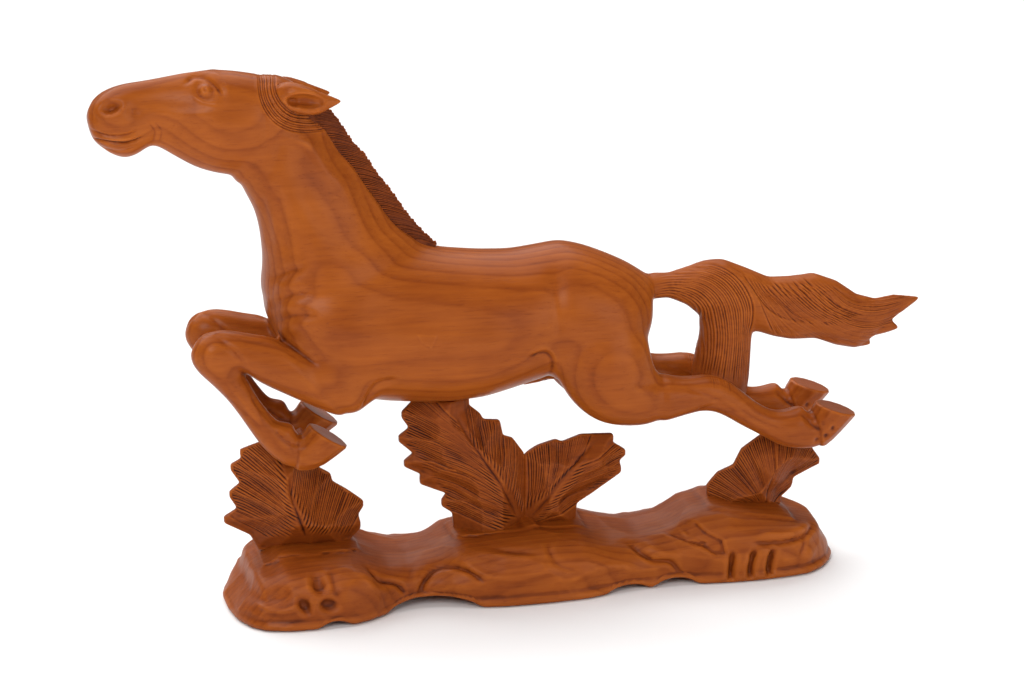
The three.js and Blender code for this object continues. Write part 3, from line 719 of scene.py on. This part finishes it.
def mane():
    """A thin comb of wood let into the crest, its outer edge cut into tufts."""
    field = Field(["mane"], step=0.45, margin=8.0)
    inward, along = inward_of(field, curve(MANE_EDGE, 0.25), 0.25)
    tufts = 1.3 * ((along / TUFT) % 1.0) + 0.9 * ((along / (2.7 * TUFT)) % 1.0) - 0.7
    half = (MANE_HALF + MANE_SLOPE * np.clip(inward, 0, 20))[:, None, :]
    plate = np.maximum(tufts - inward, inward - MANE_HEIGHT - MANE_TENON)
    plate = np.maximum(plate, np.maximum(1.0 - along, along - along.max() + 1.0))[:, None, :]
    field.values = np.maximum(plate, np.abs(field.axes()[1]) - half).astype(np.float32)
    field.values = field.blurred(MANE_BLUR)
    points, faces = field.skin()
    points, faces, kept = subdivided(points, faces, np.ones(len(faces), bool))
    normals = vertex_normals(points, faces)
    relief = Relief((-142, 205), (-34, 322), cell=0.25)
    relief.comb([[(-132, 312), (-124, 309), (-114, 305)], [(-122, 300), (-114, 298), (-100, 293)],
                 [(-118, 292), (-108, 290), (-92, 283)], [(-107, 278), (-97, 275.5), (-80, 268)],
                 [(-94, 256), (-84, 254), (-68, 247)], [(-81, 236), (-72, 234.5), (-56, 228)],
                 [(-62, 219), (-54, 218), (-38, 211)]], HAIR_PITCH, 1.0)
    push = relief.at(points[:, 0], points[:, 2]) * smoothstep(0.2, 0.6, np.abs(normals[:, 1]))
    carved("mane", points, faces, kept, normals, push, 10, MANE, "mane_wood")


def melted(field, solids):
    """The horse's solids as one smooth field: broadest at the barrel, lightest at the tip of the tail."""
    for name in SOFT_NODES + HOOVES:
        np.minimum(field.values, solids[name], out=field.values)
    np.minimum(field.values, crest_ridge(field), out=field.values)
    light = field.blurred(TIP_BLUR)
    fine = field.blurred(LIMB_BLUR)
    broad = field.blurred(BARREL_BLUR)
    field.values = np.full(field.shape, -1.0, np.float32)
    for name in BARREL_NODES:
        field.values = np.maximum(field.values, (solids[name] < 0.5) * 1.0)
    share = smoothstep(0.1, 0.5, field.blurred(BLEND_BLUR))
    x, _, z = field.axes()
    toward_tip = smoothstep(190, 215, x) * smoothstep(125, 135, z)
    smooth = fine + (broad - fine) * share
    smooth += (light - smooth) * toward_tip
    return smooth


def add_crisp(field, solids):
    """Sets the hooves, the sheath and the hollowed ears over the smooth horse, with their edges kept."""
    for name in CRISP_NODES:
        np.minimum(field.values, solids[name] - CRISP_SWELL, out=field.values)
    for name, side, drop in zip(EARS, (-1, 1), (0.0, FAR_EAR_DROP)):
        hollow = np.minimum(field.ellipsoid((-127, side * 26.5, 310 + drop), (14, 11, 5.9), -8),
                            field.ellipsoid((-133, side * 27, 309.8 + drop), (7, 13, 4.8), -8))
        np.minimum(field.values, np.maximum(solids[name] - CRISP_SWELL, -hollow), out=field.values)


def widened(faces, kept, rings):
    """Marks the kept faces and some rings of faces round them."""
    near = np.zeros(faces.max() + 1, bool)
    near[faces[kept]] = True
    for _ in range(rings):
        marked = near[faces].any(1)
        near[faces[marked]] = True
    return marked


def horse_relief():
    """All that is drawn on the horse's flanks."""
    relief = Relief((-256, 76), (262, 330))
    draw_face(relief)
    draw_body(relief)
    draw_legs(relief)
    draw_hair(relief)
    return relief


def horse():
    """The whole horse but its mane, as one skin parted into a closed piece for each node."""
    names = SOFT_NODES + CRISP_NODES + EARS
    field = Field(names)
    solids = {name: field.solid(name) for name in names}
    field.values = melted(field, solids)
    add_crisp(field, solids)
    field.values = field.blurred(LAST_BLUR)
    points, faces = field.skin()
    distances = np.stack([sampled(field, solids[name], points) for name in names], axis=1)
    distances = averaged(distances, edges_of(faces), 3)
    label = distances.argmin(1)
    face_label = np.sort(label[faces], axis=1)[:, 1]
    relief = horse_relief()
    for number, name in enumerate(names):
        kept = face_label == number
        marked = widened(faces, kept, CARVED_RINGS)
        used, compact = np.unique(faces[marked], return_inverse=True)
        skin = points[used], compact.reshape(-1, 4), kept[marked]
        if name in FINE_NODES:
            skin = subdivided(*skin)
        normals = vertex_normals(*skin[:2])
        push = raised(relief, skin[0], normals)
        rounds = 8 if name in FINE_NODES else 4
        material, slot = (TAIL, "tail_wood") if name in TAIL_NODES else (COAT, "coat_wood")
        carved(name, *skin, normals, push, rounds, material, slot)


def raised(relief, points, normals):
    """What the relief does to points of the horse: nothing on its back and belly, all on its flanks."""
    x, y, z = points.T
    far = smoothstep(0, 12, y)
    fore = far * smoothstep(165, 140, z) * (x < 0)
    hind = far * smoothstep(165, 140, z) * (x >= 0)
    shift_x = fore * FAR_FORE[0] + hind * FAR_HIND[0]
    shift_z = fore * FAR_FORE[1] + hind * FAR_HIND[1]
    return relief.at(x - shift_x, z - shift_z) * smoothstep(0.05, 0.4, np.abs(normals[:, 1]))


# ---------------------------------------------------------------- fronds
VEINS = {
    "front_frond": {
        "midrib": [(-129, 40), (-134, 54), (-138, 68), (-139, 84)],
        "left": [[(-150, 40), (-160, 46), (-173, 54)], [(-136, 42), (-155, 53), (-182, 62)],
            [(-133, 54), (-153, 67), (-178, 80)], [(-137, 66), (-155, 80), (-178, 96)],
            [(-140, 80), (-152, 92), (-170, 106)], [(-142, 92), (-150, 102), (-160, 112)]],
        "right": [[(-139, 70), (-137, 80), (-135, 94)], [(-135, 58), (-129, 73), (-124, 92)],
            [(-130, 44), (-122, 62), (-112, 86)], [(-120, 41), (-111, 57), (-100, 74)],
            [(-110, 39), (-103, 52), (-92, 66)], [(-102, 38), (-97, 46), (-88, 56)]],
        "notches": [[(-176, 70), (-163, 63), (-148, 57)], [(-174, 86), (-162, 78), (-148, 70)],
            [(-172, 100), (-160, 91), (-148, 83)], [(-114, 84), (-118, 70), (-124, 58)],
            [(-101, 68), (-107, 58), (-113, 50)]],
    },
    "belly_frond": {
        "midrib": [(5, 36), (-8, 62), (-22, 84), (-40, 116)],
        "left": [[(-10, 36), (-24, 42), (-42, 48)], [(4, 40), (-20, 52), (-48, 64)],
            [(-4, 54), (-28, 70), (-64, 84)], [(-12, 70), (-36, 88), (-72, 102)],
            [(-22, 84), (-42, 102), (-70, 118)], [(-34, 104), (-46, 116), (-56, 130)]],
        "right": [[(5, 40), (8, 56), (9, 80)], [(-2, 52), (3, 70), (4, 96)],
            [(-10, 66), (-7, 84), (-6, 106)], [(-19, 80), (-19, 96), (-20, 114)],
            [(-28, 94), (-30, 108), (-32, 126)]],
        "notches": [[(-40, 60), (-24, 52), (-10, 46)], [(-58, 75), (-38, 66), (-20, 58)],
            [(-60, 87), (-42, 78), (-24, 68)], [(-63, 103), (-46, 92), (-30, 80)],
            [(-7, 92), (-8, 80), (-8, 68)], [(-20, 104), (-20, 94), (-18, 84)]],
    },
    "flank_frond": {
        "midrib": [(8, 36), (25, 62), (40, 78), (54, 87)],
        "left": [[(8, 42), (9, 60), (8, 84)], [(15, 48), (19, 66), (22, 90)],
            [(26, 63), (32, 76), (38, 92)], [(38, 76), (45, 83), (52, 92)]],
        "right": [[(10, 36), (26, 42), (44, 46)], [(14, 46), (36, 54), (62, 58)],
            [(26, 60), (46, 66), (74, 72)], [(36, 72), (54, 78), (68, 84)]],
        "notches": [[(29, 86), (26, 76), (22, 64)], [(66, 73), (48, 67), (32, 60)],
            [(58, 60), (42, 54), (26, 50)]],
    },
    "rear_frond": {
        "midrib": [(158, 36), (160, 50), (163, 66)],
        "left": [[(152, 35), (138, 39), (120, 44)], [(153, 38), (138, 47), (120, 56)],
            [(155, 40), (146, 54), (134, 70)], [(157, 40), (155, 60), (150, 82)],
            [(159, 42), (162, 62), (165, 88)]],
        "right": [[(159, 42), (163, 62), (168, 88)], [(160, 40), (173, 58), (190, 78)],
            [(161, 38), (174, 49), (196, 62)], [(163, 36), (172, 42), (184, 50)]],
        "notches": [[(138, 62), (145, 54), (151, 46)], [(146, 74), (150, 62), (154, 50)],
            [(180, 57), (171, 50), (164, 44)]],
    },
}
VEIN_PITCH = 1.7
VEIN_DEPTH = 0.95
# how far a frond's foot reaches down into the rock
FOOT_DROP = 2.4
# half the thickness of a frond at its edge, and how it grows inwards
EDGE_HALF = 2.0
EDGE_SLOPE = 0.85
FROND_BLUR = 0.7
FROND_SWELL = 0.4
MIDRIB_CUT = (-1.0, 1.3)
NOTCH_CUT = (-1.3, 2.6)


def inset_of(field, names):
    """How many millimetres each place of the side view lies inside the common outline of some nodes."""
    inside = np.zeros((field.shape[0], field.shape[2]), bool)
    for name in names:
        inside |= (field.solid(name) < 0).any(axis=1)
    inner = inside.copy()
    for axis in (0, 1):
        for step in (-1, 1):
            inner &= np.roll(inside, step, axis)
    i, k = np.indices(inside.shape)
    nearest = np.full(inside.shape, np.inf)
    for a, b in np.argwhere(inside & ~inner):
        nearest = np.minimum(nearest, (i - a) ** 2 + (k - b) ** 2)
    return np.where(inside, np.sqrt(nearest), 0.0).astype(np.float32) * field.step


def frond(name, veins):
    """A leafy clump: veins cut from the midrib to a thin, toothed edge, deepest between the teeth."""
    field = Field([name], step=0.8)
    y = field.axes()[1]
    inset = inset_of(field, [*VEINS, "rock_base", "torso", *HOOVES])[:, None, :]
    leaf = (np.abs(y) - (EDGE_HALF + EDGE_SLOPE * inset)) * 0.75
    solid = field.solid(name)
    lowered = np.roll(solid, -round(FOOT_DROP / field.step), axis=2)
    field.values = np.maximum(np.minimum(solid, lowered), leaf)
    field.values = field.blurred(FROND_BLUR) - FROND_SWELL
    points, faces = field.skin()
    points, faces, kept = subdivided(points, faces, np.ones(len(faces), bool))
    normals = vertex_normals(points, faces)
    relief = Relief(points[:, [0, 2]].min(0) - 4, points[:, [0, 2]].max(0) + 4)
    relief.stroke(veins["midrib"], *MIDRIB_CUT)
    relief.comb(veins["left"], VEIN_PITCH, VEIN_DEPTH, 0.15)
    relief.comb(veins["right"], VEIN_PITCH, VEIN_DEPTH, 0.15)
    for notch in veins["notches"]:
        relief.stroke(notch, *NOTCH_CUT)
    push = relief.at(points[:, 0], points[:, 2]) * smoothstep(0.1, 0.5, np.abs(normals[:, 1]))
    carved(name, points, faces, kept, normals, push, 8, FROND, "frond_wood")


# ---------------------------------------------------------------- rocky stand
CHIPS = 26


def draw_stand(relief):
    """Shelves, ledges, pits and slots along the stand's sides."""
    stroke, mound = relief.stroke, relief.mound
    # shelves and pits of the front boulder
    mound((-150, 44), (14, 6.5), 0, -2.8, 1.5)
    stroke([(-168, 38), (-151, 35), (-136, 35)], 0.9, 1.8)
    mound((-160, 25), (20, 8), -10, -3.4, 1.5)
    stroke([(-185, 30), (-174, 21), (-160, 14), (-147, 14), (-138, 20)], 1.1, 1.9)
    stroke([(-163, 53), (-164.5, 43), (-161, 34)], -1.5, 1.8)
    for place, radii, lean in (((-129, 28), (4.4, 6.0), 20), ((-138.5, 15.5), (3.6, 5.2), 25),
        ((-124, 15), (5.4, 4.4), -15)):
        mound(place, (radii[0] + 2.5, radii[1] + 2.5), lean, 0.9)
        mound(place, radii, lean, -4.6, 1.5)
    stroke([(-111, 52), (-117, 42), (-120.5, 32), (-119, 21), (-114, 12)], -0.9, 2.6)
    mound((-101, 20), (14, 18), 15, 2.2)
    stroke([(-106, 41), (-97, 31.5), (-89.5, 23), (-78.5, 18), (-73, 9)], -2.6, 1.6)
    stroke([(-111, 38), (-102, 28), (-94, 20), (-84, 14)], 1.0, 2.4)
    # saddle and the scoop under it
    stroke([(-65.5, 4), (-63.5, 15), (-57.5, 23), (-47, 26), (-37, 23.5), (-27, 16)], -2.8, 1.7)
    stroke([(-70, 12), (-66, 23), (-57, 30), (-45, 31.5), (-33, 29)], 1.0, 2.6)
    mound((-47, 14), (12, 8), 0, 2.2)
    # ledges of the middle
    mound((-27, 43), (20, 4.5), -3, -1.8, 1.3)
    stroke([(-50, 39), (-30, 37), (-8, 33.5), (8, 32)], -1.4, 1.5)
    stroke([(-50, 36), (-30, 34), (-8, 30.5), (8, 29)], 1.0, 2.0)
    stroke([(-38, 26), (-22, 19.5), (-2, 19), (16, 23)], 0.9, 2.4)
    stroke([(18, 42), (14, 33), (19, 24), (32, 18)], -0.8, 2.4)
    stroke([(30, 39), (42, 40), (50, 33.5), (60, 31.3), (68, 28.5), (75, 22), (80, 18), (90, 16),
        (95, 10), (99, 2)], -2.6, 1.7)
    stroke([(36, 45), (46, 43.5), (54, 37), (64, 35.5), (72, 32), (79, 26), (86, 22), (95, 19),
        (100, 12)], 1.2, 2.4)
    stroke([(20, 12), (38, 17), (56, 18), (72, 12)], 0.8, 2.6)
    # chipped patch
    relief.patch([(84, 35), (92, 38.5), (108, 38.5), (114, 33), (122.5, 28), (124, 19), (118, 18.5),
        (108, 25), (98, 29), (88, 32)], -1.5, 0.8)
    for _ in range(CHIPS):
        x = random.uniform(88, 120)
        z = 36 - 0.45 * (x - 88) + random.uniform(-5, 3)
        turn = random.uniform(-50, 10)
        mound((x, z), (2.2, 0.9), turn, random.uniform(-1.0, 0.6))
    # slots and the rounded heel
    for foot, lean in ((127.5, 1.5), (140, 3.0), (152.5, 2.5)):
        stroke([(foot - 0.4, -5), (foot, 4), (foot + 0.6, 12), (foot + lean, 21)], -4.6, 1.9)
    stroke([(140, 25), (156, 23.5), (170, 24), (182, 27), (194, 33)], -2.2, 2.2)
    stroke([(144, 30), (158, 29), (171, 29.5), (184, 33)], 1.4, 3.2)
    stroke([(158, 12), (172, 12), (186, 14)], 1.2, 4.5)
    stroke([(178, 30), (176, 20), (172, 12)], -0.8, 1.8)
    mound((112, 48), (14, 4), -4, -1.4)
    stroke([(90, 44), (104, 46), (122, 43), (140, 38)], 0.9, 2.2)


# shelves round both ends of the stand: level, width and height of each
TERRACES = [(27, 4.5, 1.8), (36, 4.5, -2.2), (44, 4.0, 1.6), (19, 4.0, -1.0)]
STAND_MIDDLE = 6.0
STAND_BLUR = 2.2
STAND_SWELL = 0.15
PAD_BLUR = 1.0
# spacing and depth of a broad and of a small gouge's marks
BROAD_GOUGE = (26.0, 2.2)
SMALL_GOUGE = (12.0, 0.6)
# the pads that the fronds stand in: how far they reach past the frond, and how proud of the rock they are
PAD_REACH = 4.5
PAD_HEIGHT = 1.2


def gouged(points, spacing, depth):
    """Shallow facets left by a broad gouge: each point's drop below the ridges between them."""
    low, high = points.min(0), points.max(0)
    count = int(np.prod(np.ceil((high - low) / spacing)))
    seeds = points[random.integers(0, len(points), count)]
    nearest = np.full(len(points), np.inf)
    for seed in seeds:
        nearest = np.minimum(nearest, np.sum(((points - seed) * (0.7, 1, 1.3)) ** 2, axis=1))
    return -depth * (1 - np.clip(np.sqrt(nearest) / spacing, 0, 1) ** 2)


def terraces(points):
    """How far the shelves round the ends of the stand push each point out."""
    push = np.zeros(len(points))
    for level, width, height in TERRACES:
        push += height * np.exp(-((points[:, 2] - level) / width) ** 2)
    return push * smoothstep(150, 172, np.abs(points[:, 0] - STAND_MIDDLE))


def stand():
    """The rock, with a raised pad round the foot of each frond, and a flat underside."""
    field = Field(["rock_base"], step=0.95)
    field.values = field.solid("rock_base")
    field.values = field.blurred(STAND_BLUR) - STAND_SWELL
    ground = field.values
    z = field.axes()[2]
    for name in VEINS:
        pad = np.maximum(field.solid(name) - PAD_REACH, ground - PAD_HEIGHT)
        np.minimum(field.values, pad, out=field.values)
    np.maximum(field.values, -z, out=field.values)
    field.values = field.blurred(PAD_BLUR)
    points, faces = field.skin()
    normals = vertex_normals(points, faces)
    relief = Relief((-192, -6), (206, 60), cell=0.5)
    draw_stand(relief)
    lift = smoothstep(2.0, 7.0, points[:, 2])
    push = relief.at(points[:, 0], points[:, 2]) * smoothstep(0.15, 0.6, np.abs(normals[:, 1]))
    push = push + (gouged(points, *BROAD_GOUGE) + gouged(points, *SMALL_GOUGE)) * lift
    push = push + terraces(points) * (1 - np.abs(normals[:, 1]))
    push = push * smoothstep(-0.7, -0.2, normals[:, 2])
    points = points + normals * push[:, None]
    points[:, 2] = np.maximum(points[:, 2], 0.0)
    normals = vertex_normals(points, faces)
    hollow = hollowness(points, faces, normals, 6)
    kept = np.ones(len(faces), bool)
    piece("rock_base_carved", points, faces, kept, normals, hollow, STAND, "stand_wood", "rock_base")


horse()
mane()
for name, veins in VEINS.items():
    frond(name, veins)
stand()

# ---------------------------------------------------------------- stage
VIEW_AZIMUTH = math.radians(-13.0)
VIEW_ELEVATION = math.radians(17.0)
VIEW_DISTANCE = 2.2
VIEW_AIM = Vector(np.array([0.0, 0.0, 151.0]) + ZERO) * MM
VIEW_WIDTH = 0.6144
SENSOR_WIDTH = 36.0
FLOOR_HALF = 6.0
PAPER_GREY = 0.9


def stage():
    """White paper to stand on."""
    floor_mesh = bpy.data.meshes.new("floor")
    half = FLOOR_HALF
    corners = [(-half, -half, 0), (half, -half, 0), (half, half, 0), (-half, half, 0)]
    floor_mesh.from_pydata(corners, [], [(0, 1, 2, 3)])
    floor = placed("floor", floor_mesh)
    paper = bpy.data.materials.new("paper")
    paper.use_nodes = True
    shader = paper.node_tree.nodes["Principled BSDF"]
    shader.inputs["Base Color"].default_value = (PAPER_GREY, PAPER_GREY, PAPER_GREY, 1)
    shader.inputs["Roughness"].default_value = 0.9
    floor_mesh.materials.append(paper)


def lamp(name, position, size, power, aim):
    """A square area light. Metres and watts."""
    light = bpy.data.lights.new(name, "AREA")
    light.size = size
    light.energy = power
    made = placed(name, light)
    made.location = position
    made.rotation_euler = (Vector(aim) - Vector(position)).to_track_quat("-Z", "Y").to_euler()


def ceiling():
    """Even light from above, wide enough to leave hardly any shadow."""
    light = bpy.data.lights.new("ceiling", "SUN")
    light.energy = 3.6
    light.angle = math.radians(80.0)
    placed("ceiling", light).rotation_euler = (math.radians(-24.0), math.radians(-12.0), 0.0)


def camera():
    """A long lens, a little above the figure and to its front left."""
    lens = bpy.data.cameras.new("camera")
    made = placed("camera", lens)
    away = Vector((math.sin(VIEW_AZIMUTH) * math.cos(VIEW_ELEVATION),
                   -math.cos(VIEW_AZIMUTH) * math.cos(VIEW_ELEVATION), math.sin(VIEW_ELEVATION)))
    made.location = VIEW_AIM + away * VIEW_DISTANCE
    made.rotation_euler = away.to_track_quat("Z", "Y").to_euler()
    lens.sensor_width = SENSOR_WIDTH
    lens.lens = lens.sensor_width * VIEW_DISTANCE / VIEW_WIDTH
    bpy.context.scene.camera = made


stage()
camera()
lamp("key", (-0.9, -1.9, 1.5), 1.0, 26.0, VIEW_AIM)
lamp("fill", (1.2, -1.8, 0.8), 1.2, 12.0, VIEW_AIM)
ceiling()
world = bpy.data.worlds.new("studio")
world.use_nodes = True
world.node_tree.nodes["Background"].inputs["Color"].default_value = (1, 1, 1, 1)
world.node_tree.nodes["Background"].inputs["Strength"].default_value = 0.16
bpy.context.scene.world = world
bpy.context.scene.view_settings.view_transform = "Standard"
